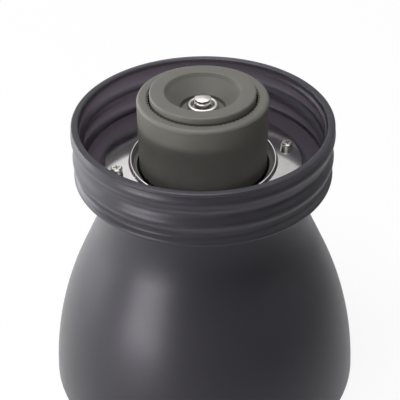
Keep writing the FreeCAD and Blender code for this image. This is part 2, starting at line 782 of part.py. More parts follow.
PIECES = [
    hopper_shell(),
    burr_housing(),
    outer_burr(),
    burr_plate(),
    plate_screws(),
    flanged_bush("bush_lower", "hub_foot", "hub_foot + bush_length", True),
    flanged_bush("bush_upper", "hub_top - bush_length", "hub_top", False),
    drive_shaft(),
    ring("thrust_washer", "bush_bore", "flange_radius", "washer_foot", "shaft_collar_foot"),
    open_ring("shaft_clip", "shaft_radius - clip_groove_depth", "clip_radius", "clip_foot", "clip_thickness",
              "clip_opening"),
    burr_spring(),
    click_disc(),
    click_spring(),
    cap_bush(),
    open_ring("tip_clip", "tip_radius - tip_groove_depth", "cap_bush_bore - tip_clip_clearance",
              "tip_clip_foot", "tip_clip_thickness", "tip_clip_opening"),
    inner_burr(),
    burr_insert(),
    adjuster_knob(),
    ring("knob_nut", "bush_bore", "nut_radius", "knob_foot", "knob_foot + nut_length"),
    ring("knob_washer", "insert_radius", "knob_washer_radius", "cone_base", "knob_foot"),
]

doc.recompute()
for item in doc.Objects:
    if "Invalid" in item.State or "Error" in item.State:
        raise RuntimeError("%s did not build: %s" % (item.Label, item.State))
for item in PIECES:
    if item.Shape.isNull() or not item.Shape.isValid():
        raise RuntimeError("%s has no valid shape" % item.Label)

os.makedirs("parts", exist_ok=True)
for item in PIECES:
    item.Shape.exportStep("parts/%s.step" % item.Label)
    box = item.Shape.BoundBox
    print("%-14s %d solid(s) %9.1f mm3, z %.2f to %.2f" % (
        item.Label, len(item.Shape.Solids), item.Shape.Volume, box.ZMin, box.ZMax))
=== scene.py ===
# %% [markdown]
# Grinding head of a hand mill, dressed in Blender.
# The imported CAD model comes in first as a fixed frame. Every visible piece is then either a CAD node
# with a real finish, or a finer mesh that takes the place of a node and rides on the same body.
# All lengths are metres in the CAD frame: +Z runs up the shaft, the origin is on the floor.
# Outlines are written in millimetres, as a drawing has them, and MM turns them into metres.

# %% Load the frame
import math

import bmesh
import bpy
from mathutils import Matrix, Vector


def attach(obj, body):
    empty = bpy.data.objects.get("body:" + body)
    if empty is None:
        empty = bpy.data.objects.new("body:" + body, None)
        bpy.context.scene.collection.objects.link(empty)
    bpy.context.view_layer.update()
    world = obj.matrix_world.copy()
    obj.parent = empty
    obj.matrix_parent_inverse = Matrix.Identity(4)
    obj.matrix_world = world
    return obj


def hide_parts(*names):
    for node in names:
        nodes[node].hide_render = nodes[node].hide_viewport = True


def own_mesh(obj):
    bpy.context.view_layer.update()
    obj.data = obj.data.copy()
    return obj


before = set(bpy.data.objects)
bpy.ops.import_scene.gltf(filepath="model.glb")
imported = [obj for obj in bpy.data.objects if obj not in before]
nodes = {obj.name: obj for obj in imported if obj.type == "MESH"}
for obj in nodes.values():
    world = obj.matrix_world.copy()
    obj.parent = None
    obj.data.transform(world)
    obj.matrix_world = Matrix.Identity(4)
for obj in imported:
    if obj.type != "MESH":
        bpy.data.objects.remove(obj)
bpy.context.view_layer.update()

MM = 0.001

# %% [markdown]
# Colours are easiest to read as sRGB hex values, as a paint chart gives them, but the shader
# works in linear light. One function turns one into the other. A second small function adds a
# node to any tree with its settings and links, so that each finish below reads as a short list.


# %% Colour and node helpers
def linear(code):
    """A linear RGBA colour from an sRGB hex value."""
    parts = [int(code[i:i + 2], 16) / 255 for i in (1, 3, 5)]
    curve = [c / 12.92 if c <= 0.04045 else ((c + 0.055) / 1.055) ** 2.4 for c in parts]
    return (*curve, 1.0)


def add(tree, kind, settings=None, **sockets):
    """Add a node. Settings are its properties; sockets are values, or outputs to link from.

    A socket is named with _ for each space, or by its place, as i0 and i1, where names repeat.
    """
    node = tree.nodes.new(kind)
    for key, setting in (settings or {}).items():
        setattr(node, key, setting)
    for key, source in sockets.items():
        names = [s.name for s in node.inputs]
        by_place = key[0] == "i" and key[1:].isdigit()
        place = int(key[1:]) if by_place else names.index(key.replace("_", " "))
        if isinstance(source, bpy.types.NodeSocket):
            tree.links.new(source, node.inputs[place])
        else:
            node.inputs[place].default_value = source
    return node


print("middle grey as linear light: %.3f" % linear("#808080")[0])

# %% [markdown]
# The photograph looks down on the head from the front with a long lens, and everything behind the
# head is white. A camera in the same place comes first, because each later piece is judged through
# it. The lens follows from the picture: 962 pixels of focal length on a frame 400 pixels wide.

# %% Camera
FOCAL_PIXELS = 962
FRAME_PIXELS = 400
lens = bpy.data.cameras.new("photo_lens")
lens.sensor_width = 36.0
lens.lens = 36.0 * FOCAL_PIXELS / FRAME_PIXELS
camera = bpy.data.objects.new("photo_camera", lens)
camera.location = (-0.001, -0.2231, 0.2244)
tilt = Matrix.Rotation(math.radians(53.67), 3, "X")
roll = Matrix.Rotation(math.radians(-0.56), 3, "Z")
camera.rotation_euler = (tilt @ roll).to_euler()
bpy.context.scene.collection.objects.link(camera)
bpy.context.scene.camera = camera
bpy.context.scene.view_settings.view_transform = "Standard"
print("lens: %.1f mm" % lens.lens)

# %% [markdown]
# The studio is a white sweep that goes on behind and to the left, with a pale card on the right and
# a bright ceiling. The room behind the photographer is dimmer, which is why the front of the
# smoke-grey plastic stays dark while its edges glow. One even white would lose that, so the world
# keeps the difference by direction. The camera, reflections and light seen through the plastic get
# the sweep. Matt surfaces get a plain soft level, which is higher towards the window in front on the left.

# %% World
SWEEP_WAY = (-0.9, 0.43, 0.0)
WINDOW_WAY = (-0.85, -0.50, 0.0)
SOFT_LOW = 0.06
SOFT_HIGH = 0.54
world = bpy.data.worlds.new("white_sweep")
bpy.context.scene.world = world
world.use_nodes = True
sky = world.node_tree
sky.nodes.clear()
path = add(sky, "ShaderNodeLightPath")
seen = add(sky, "ShaderNodeMath", {"operation": "MAXIMUM"},
           i0=path.outputs["Is Glossy Ray"], i1=path.outputs["Is Transmission Ray"])
seen_all = add(sky, "ShaderNodeMath", {"operation": "MAXIMUM"},
               i0=path.outputs["Is Camera Ray"], i1=seen.outputs[0])
way = add(sky, "ShaderNodeTexCoord")
towards = add(sky, "ShaderNodeVectorMath", {"operation": "DOT_PRODUCT"}, i0=way.outputs["Generated"],
              i1=SWEEP_WAY)
depth = add(sky, "ShaderNodeMapRange", {"interpolation_type": "SMOOTHSTEP"},
            Value=towards.outputs["Value"], From_Min=0.10, From_Max=0.50, To_Min=0.64, To_Max=1.05)
axis = add(sky, "ShaderNodeSeparateXYZ", Vector=way.outputs["Generated"])
ceiling = add(sky, "ShaderNodeMapRange", Value=axis.outputs["Z"], From_Min=0.60, From_Max=0.92,
              To_Min=0.0, To_Max=1.3)
card = add(sky, "ShaderNodeMapRange", {"interpolation_type": "SMOOTHSTEP"}, Value=axis.outputs["X"],
           From_Min=0.70, From_Max=1.0, To_Min=0.0, To_Max=0.55)
above = add(sky, "ShaderNodeMath", {"operation": "ADD"}, i0=depth.outputs[0], i1=ceiling.outputs[0])
room = add(sky, "ShaderNodeMath", {"operation": "ADD"}, i0=above.outputs[0], i1=card.outputs[0])
white = add(sky, "ShaderNodeMix", Factor=path.outputs["Is Camera Ray"], A=room.outputs[0], B=1.0)
lit_from = add(sky, "ShaderNodeVectorMath", {"operation": "DOT_PRODUCT"}, i0=way.outputs["Generated"],
               i1=WINDOW_WAY)
window = add(sky, "ShaderNodeMapRange", Value=lit_from.outputs["Value"], From_Min=-1.0, From_Max=1.0,
             To_Min=SOFT_LOW, To_Max=SOFT_HIGH)
soft = add(sky, "ShaderNodeBackground", Color=linear("#ffffff"), Strength=window.outputs[0])
sweep = add(sky, "ShaderNodeBackground", Color=linear("#ffffff"), Strength=white.outputs[0])
both = add(sky, "ShaderNodeMixShader", i0=seen_all.outputs[0], i1=soft.outputs[0], i2=sweep.outputs[0])
add(sky, "ShaderNodeOutputWorld", Surface=both.outputs[0])
print("world: soft level %.2f to %.2f, white to the camera" % (SOFT_LOW, SOFT_HIGH))


# %% [markdown]
# Three soft boxes give the light that has a direction. The one low in front on the left leaves the
# tall soft highlight on the bell. The wide one on the left brightens that side, and the one overhead
# lights the disc and the plate. The first two stand about as low as the rim, because a higher lamp
# throws the rim's shadow across the knob. Spot lamps would give hard highlights, which the
# photograph hasn't got.

# %% Lamps
def soft_box(name, place, target, width, height, power, colour):
    """A rectangular soft light that looks at a point."""
    lamp = bpy.data.lights.new(name, "AREA")
    lamp.shape = "RECTANGLE"
    lamp.size = width
    lamp.size_y = height
    lamp.energy = power
    lamp.color = linear(colour)[:3]
    item = bpy.data.objects.new(name, lamp)
    item.location = place
    item.rotation_euler = (Vector(target) - Vector(place)).to_track_quat("-Z", "Y").to_euler()
    bpy.context.scene.collection.objects.link(item)
    return item


soft_box("flash_front_left", (-0.75, -0.65, 0.06), (0, 0, 0.05), 0.52, 0.10, 4.3, "#fffaf4")
soft_box("sweep_left", (-0.82, 0.36, 0.12), (0, 0, 0.05), 0.70, 0.14, 3.5, "#ffffff")
soft_box("overhead", (-0.20, -0.06, 0.95), (0, 0, 0.08), 0.60, 0.60, 5.2, "#ffffff")
print("lamps: one low in front on the left, one on the left, one overhead")

# %% [markdown]
# The floor is white paper. It gives the camera an even white, and a share of plain matt paper in that
# keeps the soft shadow on the right of the bell. Reflections see a glow with painted light in it: painted
# shade makes the paper dimmer in front, where the studio's light ends, and a painted pool of lamp light
# makes it brighter on the left, near the lamps. The round patch under the hopper's mouth is plain matt
# paper, because no light from the room reaches it. From below the paper is clear, so that a view from
# there looks into the mouth.

# %% Floor
PAPER = "#f2f2f2"
MATT_SHARE = 0.15
CAMERA_WHITE = 1.04
PATCH_R = 0.0458
PAPER_R = 4
SIDES = 96
paper = bpy.data.materials.new("white_paper")
paper.use_nodes = True
sheet = paper.node_tree
sheet.nodes.clear()
path = add(sheet, "ShaderNodeLightPath")
seen = add(sheet, "ShaderNodeMath", {"operation": "MAXIMUM"},
           i0=path.outputs["Is Glossy Ray"], i1=path.outputs["Is Transmission Ray"])
seen_all = add(sheet, "ShaderNodeMath", {"operation": "MAXIMUM"},
               i0=path.outputs["Is Camera Ray"], i1=seen.outputs[0])
ground = add(sheet, "ShaderNodeTexCoord").outputs["Object"]
axes = add(sheet, "ShaderNodeSeparateXYZ", Vector=ground)
# Painted light in the glow that reflections see: painted shade makes the paper dimmer in front, and a
# painted pool of lamp light makes it brighter on the left.
front = add(sheet, "ShaderNodeMapRange", Value=axes.outputs["Y"], From_Min=-0.20, From_Max=0.0,
            To_Min=0.44, To_Max=1.0)
side = add(sheet, "ShaderNodeMapRange", Value=axes.outputs["X"], From_Min=-0.60, From_Max=0.20,
           To_Min=3.60, To_Max=0.30)
painted_pool_level = add(sheet, "ShaderNodeMath", {"operation": "MULTIPLY"},
                 i0=front.outputs[0], i1=side.outputs[0])
level = add(sheet, "ShaderNodeMix", Factor=path.outputs["Is Camera Ray"], A=painted_pool_level.outputs[0],
            B=CAMERA_WHITE)
matt = add(sheet, "ShaderNodeBsdfDiffuse", Color=linear(PAPER))
glow = add(sheet, "ShaderNodeEmission", Color=linear("#ffffff"), Strength=level.outputs[0])
lit = add(sheet, "ShaderNodeMixShader", i0=MATT_SHARE, i1=glow.outputs[0], i2=matt.outputs[0])
both = add(sheet, "ShaderNodeMixShader", i0=seen_all.outputs[0], i1=matt.outputs[0], i2=lit.outputs[0])
clear = add(sheet, "ShaderNodeBsdfTransparent")
under = add(sheet, "ShaderNodeNewGeometry").outputs["Backfacing"]
top_only = add(sheet, "ShaderNodeMixShader", i0=under, i1=both.outputs[0], i2=clear.outputs[0])
add(sheet, "ShaderNodeOutputMaterial", Surface=top_only.outputs[0])
shade = bpy.data.materials.new("paper_under_the_mouth")
shade.use_nodes = True
patch = shade.node_tree
patch.nodes.clear()
dim = add(patch, "ShaderNodeBsdfDiffuse", Color=linear(PAPER))
clear = add(patch, "ShaderNodeBsdfTransparent")
under = add(patch, "ShaderNodeNewGeometry").outputs["Backfacing"]
top_only = add(patch, "ShaderNodeMixShader", i0=under, i1=dim.outputs[0], i2=clear.outputs[0])
add(patch, "ShaderNodeOutputMaterial", Surface=top_only.outputs[0])
turns = [2 * math.pi * k / SIDES for k in range(SIDES)]
spots = [(math.cos(t) * PATCH_R, math.sin(t) * PATCH_R, 0) for t in turns]
spots += [(math.cos(t) * PAPER_R, math.sin(t) * PAPER_R, 0) for t in turns]
faces = [(k, k + SIDES, (k + 1) % SIDES + SIDES, (k + 1) % SIDES) for k in range(SIDES)]
floor_mesh = bpy.data.meshes.new("floor")
floor_mesh.from_pydata(spots, [], faces + [tuple(range(SIDES))])
floor_mesh.materials.append(paper)
floor_mesh.materials.append(shade)
floor_mesh.polygons[SIDES].material_index = 1
floor = bpy.data.objects.new("floor", floor_mesh)
bpy.context.scene.collection.objects.link(floor)
print("floor: %d m of white paper" % (2 * PAPER_R))


# %% [markdown]
# Every finish is a Principled shader with a fine pattern in the piece's own coordinates: a cloud
# some millimetres wide that drifts between two near colours, and a grain that varies the shine
# and lifts the skin a little. A pattern's scale is one over its size in metres. Real spark-eroded
# grain is nearer a tenth of a millimetre. It is drawn about three times as coarse, so that it shows
# close up. An image of each skin would also do, but a pattern needs no file and no unwrapping.

# %% Finish helper
SHINE_SWING = 0.06


def finish(name, colour, colour_2, cloud_mm, rough, grain_mm, grain_deep_mm, **shader):
    """A material whose colour drifts between two values and whose skin has a fine grain."""
    material = bpy.data.materials.new(name)
    material.use_nodes = True
    tree = material.node_tree
    tree.nodes.clear()
    place = add(tree, "ShaderNodeTexCoord").outputs["Object"]
    drift = add(tree, "ShaderNodeTexNoise", Vector=place, Scale=1 / (cloud_mm * MM), Detail=3.0)
    tint = add(tree, "ShaderNodeMix", {"data_type": "RGBA"}, i0=drift.outputs["Fac"],
               i6=linear(colour), i7=linear(colour_2))
    grain = add(tree, "ShaderNodeTexNoise", Vector=place, Scale=1 / (grain_mm * MM), Detail=2.0)
    skin = add(tree, "ShaderNodeMapRange", Value=grain.outputs["Fac"], From_Min=0.3, From_Max=0.7,
               To_Min=rough - SHINE_SWING, To_Max=rough + SHINE_SWING)
    relief = add(tree, "ShaderNodeBump", Strength=0.6, Distance=grain_deep_mm * MM,
                 Height=grain.outputs["Fac"])
    surface = add(tree, "ShaderNodeBsdfPrincipled", Base_Color=tint.outputs[2],
                  Roughness=skin.outputs[0], Normal=relief.outputs[0], **shader)
    add(tree, "ShaderNodeOutputMaterial", Surface=surface.outputs[0])
    return material


# %% [markdown]
# The finishes are named for the real materials. Most of what the photograph shows is smoke-grey
# plastic, grey plastic and steel. The burrs hardly show; their ceramic is given a dark colour as painted
# shade for the dark gap round the knob, and its finish is named for that. Roughness starts from what is
# usual for each, and for those that show it was then set against the photograph.

# %% Finishes
# Clear SAN with a dark tint, from a sandblasted tool. It is frosted, so a lamp gives a broad soft
# highlight, and thin walls let a little reddish light through.
# Its specular tint is a painted faint blue in every reflection, standing in for a bluish room.
smoke = finish("smoke_san_frosted", "#8d8b98", "#858390", 9, 0.38, 0.35, 0.0008,
               IOR=1.5, Transmission_Weight=0.93, Specular_Tint=linear("#f0f0ff"))
dye = add(smoke.node_tree, "ShaderNodeVolumeAbsorption", Color=linear("#7e5062"), Density=650.0)
output = [n for n in smoke.node_tree.nodes if n.type == "OUTPUT_MATERIAL"][0]
smoke.node_tree.links.new(dye.outputs[0], output.inputs["Volume"])
# ABS from a spark-eroded tool: quite matt, so edges shade off softly without a bright line.
grey = finish("grey_abs_spark_eroded", "#686761", "#605f59", 6, 0.55, 0.30, 0.03, IOR=1.5)
# Rolled stainless sheet: nearly a mirror, blurred by its fine milled grain.
sheet_steel = finish("stainless_sheet_milled", "#dedcda", "#cbc9c8", 2, 0.11, 0.25, 0.006, Metallic=1.0)
# Turned stainless: bright, with a softer shine than the sheet.
turned_steel = finish("stainless_turned", "#d6d3cf", "#c4c1bd", 1, 0.22, 0.10, 0.004, Metallic=1.0)
# Drawn spring wire: greyer and duller than turned steel.
spring_steel = finish("spring_steel_drawn", "#a9a7a4", "#8f8d8b", 1, 0.30, 0.10, 0.004, Metallic=1.0)
# Fired ceramic with a dull shine along the teeth. Its slate-dark colour is painted shade for the gap round
# the knob.
ceramic = finish("ceramic_painted_shade", "#4b4946", "#413f3c", 3, 0.38, 0.20, 0.010, IOR=1.6)
# Moulded black nylon: takes up most light, so the housing is a dark shape behind the plastic.
black_nylon = finish("black_nylon_moulded", "#2b2a2b", "#222122", 5, 0.52, 0.30, 0.02, IOR=1.5)
# Natural acetal: milky white with a waxy shine.
acetal = finish("acetal_natural", "#e6e3da", "#dcd9cf", 4, 0.42, 0.25, 0.010, IOR=1.48)
# Turned brass: warm yellow, as bright as turned steel.
brass = finish("brass_turned", "#c29a58", "#a98345", 1, 0.25, 0.10, 0.004, Metallic=1.0)
print("finishes:", len([m for m in bpy.data.materials if m.use_nodes]))


# %% [markdown]
# Nearly every piece is turned about the shaft's axis, so one small lathe serves them all: an
# outline of radius and height in millimetres, run anticlockwise so that the faces point outwards,
# and swept round in equal steps. A Screw modifier could do that too, but a lathe in plain code can
# also bend single points, which the jar thread needs. A lathe built from the CAD outline gives
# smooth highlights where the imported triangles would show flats.

# %% Lathe
def arc(centre_r, centre_z, radius, start, end, steps=8):
    """Points of a circle arc, angles in degrees."""
    turns = [math.radians(start + (end - start) * i / steps) for i in range(steps + 1)]
    return [(centre_r + radius * math.cos(t), centre_z + radius * math.sin(t)) for t in turns]


def softened(corners, steps=5):
    """An outline with each (r, z, fillet) corner rounded off."""
    points = []
    for i, corner in enumerate(corners):
        here = Vector(corner[:2])
        fillet = corner[2] if len(corner) > 2 else 0
        if not fillet:
            points.append(tuple(here))
            continue
        back = (Vector(corners[i - 1][:2]) - here).normalized()
        on = (Vector(corners[(i + 1) % len(corners)][:2]) - here).normalized()
        half = back.angle(on) / 2
        reach = fillet / math.tan(half)
        middle = here + (back + on).normalized() * (fillet / math.sin(half))
        first = here + back * reach - middle
        last = here + on * reach - middle
        for k in range(steps + 1):
            mixed = first.lerp(last, k / steps).normalized() * fillet
            points.append(tuple(middle + mixed))
    return points


def lathe(name, outline, columns, material, bend=None, sharp=40):
    """A closed turned mesh. bend(r, z, turn) may move a point's radius, for threads."""
    rows = len(outline)
    points = []
    for c in range(columns):
        turn = 2 * math.pi * c / columns
        for r, z in outline:
            radius = bend(r, z, turn) if bend else r
            points.append((radius * math.cos(turn) * MM, radius * math.sin(turn) * MM, z * MM))
    faces = []
    for c in range(columns):
        here = c * rows
        there = (c + 1) % columns * rows
        for k in range(rows):
            up = (k + 1) % rows
            faces.append((here + k, there + k, there + up, here + up))
    mesh = bpy.data.meshes.new(name)
    mesh.from_pydata(points, [], faces)
    mesh.polygons.foreach_set("use_smooth", [True] * len(faces))
    mesh.set_sharp_from_angle(angle=math.radians(sharp))
    mesh.materials.append(material)
    piece = bpy.data.objects.new(name, mesh)
    bpy.context.scene.collection.objects.link(piece)
    print("%s: %d faces" % (name, len(faces)))
    return piece


# %% [markdown]
# The hopper is one smoke-grey moulding: a bell on its mouth, a neck, and a collar that takes the
# jar. Its outer collar has rounded level ribs, and its inner wall a right-hand jar thread with a
# pitch of 6.9 mm. Turning gives all of it but the thread, so the inner wall's radius is moved by
# a rounded ridge that climbs with the turn. A thread swept along a helix and joined on would leave
# a seam in the see-through wall.

# %% Hopper sizes
CONE_ANGLE = 24.5
MOUTH_R = 47
BELL_ARC = 110
BELL_TOP = 40
SHELL = 2.2
NECK_R = 29
NECK_BLEND = 40
RIB_R = 35.5
RIB_WAVE = 0.5
RIB_CREST = 78
RIB_HALF = 3.5
LOW_RIB = 72.6
LOW_RIB_HALF = 1.9
LOW_RIB_TOP = 74.5
RIB_STEP = 0.25
WALL_R = 33.66
PITCH = 6.9
RIDGE = 1.2
RIDGE_HALF = 2.4
RIDGE_Z = 80
RIDGE_TURN = 0.125
THREAD_FOOT = 73.9
THREAD_TOP = 86.9
FADE_TOP = 86.2
FADE_OUT = 1.2
FADE_IN = 0.6
CONE = math.radians(CONE_ANGLE)
ARC_Z = BELL_TOP - BELL_ARC * math.sin(CONE)
ARC_R = MOUTH_R - math.sqrt(BELL_ARC ** 2 - ARC_Z ** 2)
BELL_R = ARC_R + BELL_ARC * math.cos(CONE)
NECK_Z = BELL_TOP + (BELL_R - NECK_R) / math.tan(CONE) + NECK_BLEND * math.tan(CONE / 2)
INNER_ARC = BELL_ARC - SHELL
print("bell: %.1f mm radius at its shoulder, neck starts at %.1f mm" % (BELL_R, NECK_Z))


# %% Hopper
def rib(z):
    """Outer radius of the collar: rounded ribs, the lowest one shorter."""
    crest, half = (RIB_CREST, RIB_HALF) if z > LOW_RIB_TOP else (LOW_RIB, LOW_RIB_HALF)
    return RIB_R + RIB_WAVE * math.cos(math.pi * (z - crest) / half)


def thread(r, z, turn):
    """The jar thread's ridge on the inner wall, fading out at its ends."""
    if abs(r - WALL_R) > 0.01 or not THREAD_FOOT < z < THREAD_TOP:
        return r
    height = (z - RIDGE_Z - PITCH * (turn / (2 * math.pi) - RIDGE_TURN)) / PITCH
    off = abs(height - round(height)) * PITCH
    ridge = 0.5 + 0.5 * math.cos(math.pi * off / RIDGE_HALF) if off < RIDGE_HALF else 0
    fade_out = min(max((FADE_TOP - z) / FADE_OUT, 0), 1)
    fade_in = min(max((z - THREAD_FOOT) / FADE_IN, 0), 1)
    return r - RIDGE * ridge * fade_out * fade_in


def arc_angle(z, radius):
    """The angle, in degrees, at which an arc of the bell reaches a height."""
    return math.degrees(math.asin((z - ARC_Z) / radius))


# The outside, from the foot up: mouth edge, bell, neck, ribbed collar and the flat-topped rim.
hopper_outline = arc(46.2, 0.8, 0.8, -90, 3, 6)[:-1]
hopper_outline += arc(ARC_R, ARC_Z, BELL_ARC, arc_angle(0.8, BELL_ARC), CONE_ANGLE, 36)
hopper_outline += arc(NECK_R + NECK_BLEND, NECK_Z, NECK_BLEND, 180 + CONE_ANGLE, 180, 24)
hopper_outline += arc(29.6, 70.8, 0.6, 180, 90, 5)
hopper_outline += arc(34.8, 72.6, 1.2, -90, -5, 8)
hopper_outline += [(rib(LOW_RIB + RIB_STEP * k), LOW_RIB + RIB_STEP * k) for k in range(58)]
hopper_outline += arc(35.16, 87.4, 0.6, 0, 90, 8)
hopper_outline += arc(34.26, 87.4, 0.6, 90, 180, 8)
# The inside, from the rim down: threaded wall, floor of the collar, neck, bell and lid rebate.
hopper_outline += [(WALL_R, THREAD_TOP - RIB_STEP * k) for k in range(1, 52)]
hopper_outline += softened([(WALL_R, THREAD_FOOT), (WALL_R, 73.7, 0.15), (22.4, 73.7), (22.4, 71.4),
                            (26.8, 71.4)])[1:]
hopper_outline += arc(NECK_R + NECK_BLEND, NECK_Z, NECK_BLEND + SHELL, 180, 180 + CONE_ANGLE, 16)
hopper_outline += arc(ARC_R, ARC_Z, INNER_ARC, CONE_ANGLE, arc_angle(4, INNER_ARC), 24)
hopper_outline += [(45, 4), (45, 0.4), (45.3, 0)]
hopper = lathe("hopper_moulding", hopper_outline, 240, smoke, thread)
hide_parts("hopper_shell")
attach(hopper, "hopper")

# %% [markdown]
# The plate is pressed from sheet: flat, with a short lip turned up round its hole. The knob and
# the disc in its top are ABS mouldings with softened edges; the disc is dished, and a bright
# steel ring sits at the bottom of the dish round the shaft's tip. All four are round, so the lathe
# makes them, and each corner of an outline is radius, height and, where it is softened, its fillet.

# %% Plate, knob, disc and ring
plate = lathe("pressed_plate", softened([
    (19.8, 73.7, 0.1), (27.5, 73.7, 0.1), (27.5, 74.5, 0.2), (20.6, 74.5, 0.3),
    (20.6, 75.7, 0.38), (19.8, 75.7, 0.38)]), 160, sheet_steel)
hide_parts("burr_plate")
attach(plate, "hopper")

knob = lathe("knob_moulding", softened([
    (5.5, 73.9), (8.5, 73.9), (8.5, 86.0), (15.4, 86.0, 0.5), (15.4, 73.9, 0.2), (17.8, 73.9, 0.2),
    (17.8, 94.7, 1.0), (15.1, 94.7, 0.3), (15.1, 88.3), (5.5, 88.3)], 8), 160, grey)
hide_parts("adjuster_knob")
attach(knob, "knob")

disc = lathe("disc_moulding", softened([
    (4.2, 88.9), (14.3, 88.9), (14.3, 89.7), (12.6, 89.7), (12.6, 91.4), (14.3, 91.4),
    (14.3, 96.4, 0.5), (10.3, 96.4, 0.5), (9.6, 95.3, 0.6), (6.2, 91.6), (6.2, 90.5),
    (4.2, 90.5)], 6), 160, grey)
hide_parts("click_disc")
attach(disc, "drive")

steel_ring = lathe("steel_ring", softened([
    (2.35, 88.9), (4.2, 88.9), (4.2, 92.6, 0.59), (3.0, 92.6, 0.59), (3.0, 91.0),
    (2.35, 91.0)], 8), 96, turned_steel)
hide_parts("cap_bush")
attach(steel_ring, "drive")


# %% [markdown]
# Some pieces repeat or follow a path: the screws that hold the plate, the fine ribs inside the knob
# and the coils of the spring. Geometry Nodes make them. Each tree has named inputs for its sizes, so
# a reader can try other values, and ends in Realize Instances and Set Material, because an
# exported file keeps only real faces.

# %% Geometry Nodes helpers
def new_tree(name, sizes):
    """A geometry tree with one number input for each size, and its group nodes."""
    tree = bpy.data.node_groups.new(name, "GeometryNodeTree")
    for size, number in sizes.items():
        kind = "NodeSocketInt" if isinstance(number, int) else "NodeSocketFloat"
        socket = tree.interface.new_socket(size, in_out="INPUT", socket_type=kind)
        socket.default_value = number
    tree.interface.new_socket("Geometry", in_out="OUTPUT", socket_type="NodeSocketGeometry")
    return tree, add(tree, "NodeGroupInput").outputs


def close_tree(tree, instances, material):
    """End a tree: real faces, a material and the output."""
    real = add(tree, "GeometryNodeRealizeInstances", Geometry=instances)
    dressed = add(tree, "GeometryNodeSetMaterial", Geometry=real.outputs[0], Material=material)
    add(tree, "NodeGroupOutput", Geometry=dressed.outputs[0])


def grow(name, tree, sizes):
    """Run a tree on an empty mesh and keep the result as a plain mesh object."""
    seed = bpy.data.objects.new(name + "_seed", bpy.data.meshes.new(name + "_seed"))
    bpy.context.scene.collection.objects.link(seed)
    modifier = seed.modifiers.new(name, "NODES")
    modifier.node_group = tree
    for item in tree.interface.items_tree:
        if item.in_out == "INPUT":
            modifier[item.identifier] = sizes[item.name]
    shown = seed.evaluated_get(bpy.context.evaluated_depsgraph_get())
    mesh = bpy.data.meshes.new_from_object(shown)
    mesh.name = name
    seed.modifiers.clear()
    bpy.data.meshes.remove(seed.data)
    piece = bpy.data.objects.new(name, mesh)
    bpy.context.scene.collection.objects.link(piece)
    print("%s: %d faces" % (name, len(mesh.polygons)))
    return piece


# %% [markdown]
# Two small cheese-head screws hold the plate. A head is a cylinder whose edge is bevelled by a wide
# cone, with a cross cut into its top. The two bars of the cross differ a little in height, and so
# no two faces of the cut lie in one plane, which would leave flaws in the mesh. One screw is
# made and set on both places of the screw circle.

# %% Plate screws
SCREW = {"Head radius": 1.65 * MM, "Head height": 1.6 * MM, "Bevel wide": 3.35 * MM,
         "Bevel narrow": 0.95 * MM, "Bevel depth": 2.4 * MM, "Bevel foot": -0.4 * MM,
         "Shank radius": 0.95 * MM, "Shank length": 11.0 * MM, "Shank foot": -11.0 * MM,
         "Recess length": 1.8 * MM, "Recess width": 0.4 * MM, "Recess height": 1.6 * MM,
         "Cross height": 1.56 * MM, "Merge": 0.01 * MM, "Circle": 24.5 * MM,
         "Start angle": math.radians(14), "Step": math.pi, "Foot": 74.5 * MM, "Count": 2}
tree, size = new_tree("plate_screws", SCREW)
side = add(tree, "GeometryNodeMeshCone", Vertices=40, Radius_Top=size["Head radius"],
           Radius_Bottom=size["Head radius"], Depth=size["Head height"])
edge = add(tree, "GeometryNodeMeshCone", Vertices=40, Radius_Top=size["Bevel narrow"],
           Radius_Bottom=size["Bevel wide"], Depth=size["Bevel depth"])
lift = add(tree, "ShaderNodeCombineXYZ", Z=size["Bevel foot"])
edge_up = add(tree, "GeometryNodeTransform", Geometry=edge.outputs[0], Translation=lift.outputs[0])
solid = add(tree, "GeometryNodeMeshBoolean", {"operation": "INTERSECT", "solver": "EXACT"})
tree.links.new(side.outputs[0], solid.inputs["Mesh 2"])
tree.links.new(edge_up.outputs[0], solid.inputs["Mesh 2"])
cut = add(tree, "GeometryNodeMeshBoolean", {"operation": "DIFFERENCE", "solver": "EXACT"})
tree.links.new(solid.outputs[0], cut.inputs["Mesh 1"])
top = add(tree, "ShaderNodeCombineXYZ", Z=size["Head height"])
for x_way, y_way, z_way in (("Recess length", "Recess width", "Recess height"),
                            ("Recess width", "Recess length", "Cross height")):
    slot_size = add(tree, "ShaderNodeCombineXYZ", X=size[x_way], Y=size[y_way], Z=size[z_way])
    slot = add(tree, "GeometryNodeMeshCube", Size=slot_size.outputs[0])
    slot_up = add(tree, "GeometryNodeTransform", Geometry=slot.outputs[0], Translation=top.outputs[0])
    tree.links.new(slot_up.outputs[0], cut.inputs["Mesh 2"])
shank = add(tree, "GeometryNodeMeshCone", Vertices=24, Radius_Top=size["Shank radius"],
            Radius_Bottom=size["Shank radius"], Depth=size["Shank length"])
drop = add(tree, "ShaderNodeCombineXYZ", Z=size["Shank foot"])
shank_down = add(tree, "GeometryNodeTransform", Geometry=shank.outputs[0], Translation=drop.outputs[0])
screw = add(tree, "GeometryNodeJoinGeometry")
clean = add(tree, "GeometryNodeMergeByDistance", Geometry=cut.outputs[0], Distance=size["Merge"])
tree.links.new(clean.outputs[0], screw.inputs[0])
tree.links.new(shank_down.outputs[0], screw.inputs[0])
number = add(tree, "GeometryNodeInputIndex")
turn = add(tree, "ShaderNodeMath", {"operation": "MULTIPLY_ADD"}, i0=number.outputs[0],
           i1=size["Step"], i2=size["Start angle"])
reach = add(tree, "ShaderNodeCombineXYZ", X=size["Circle"], Z=size["Foot"])
place = add(tree, "ShaderNodeVectorRotate", {"rotation_type": "Z_AXIS"}, Vector=reach.outputs[0],
            Angle=turn.outputs[0])
spots = add(tree, "GeometryNodePoints", Count=size["Count"], Position=place.outputs[0])
spin = add(tree, "ShaderNodeCombineXYZ", Z=turn.outputs[0])
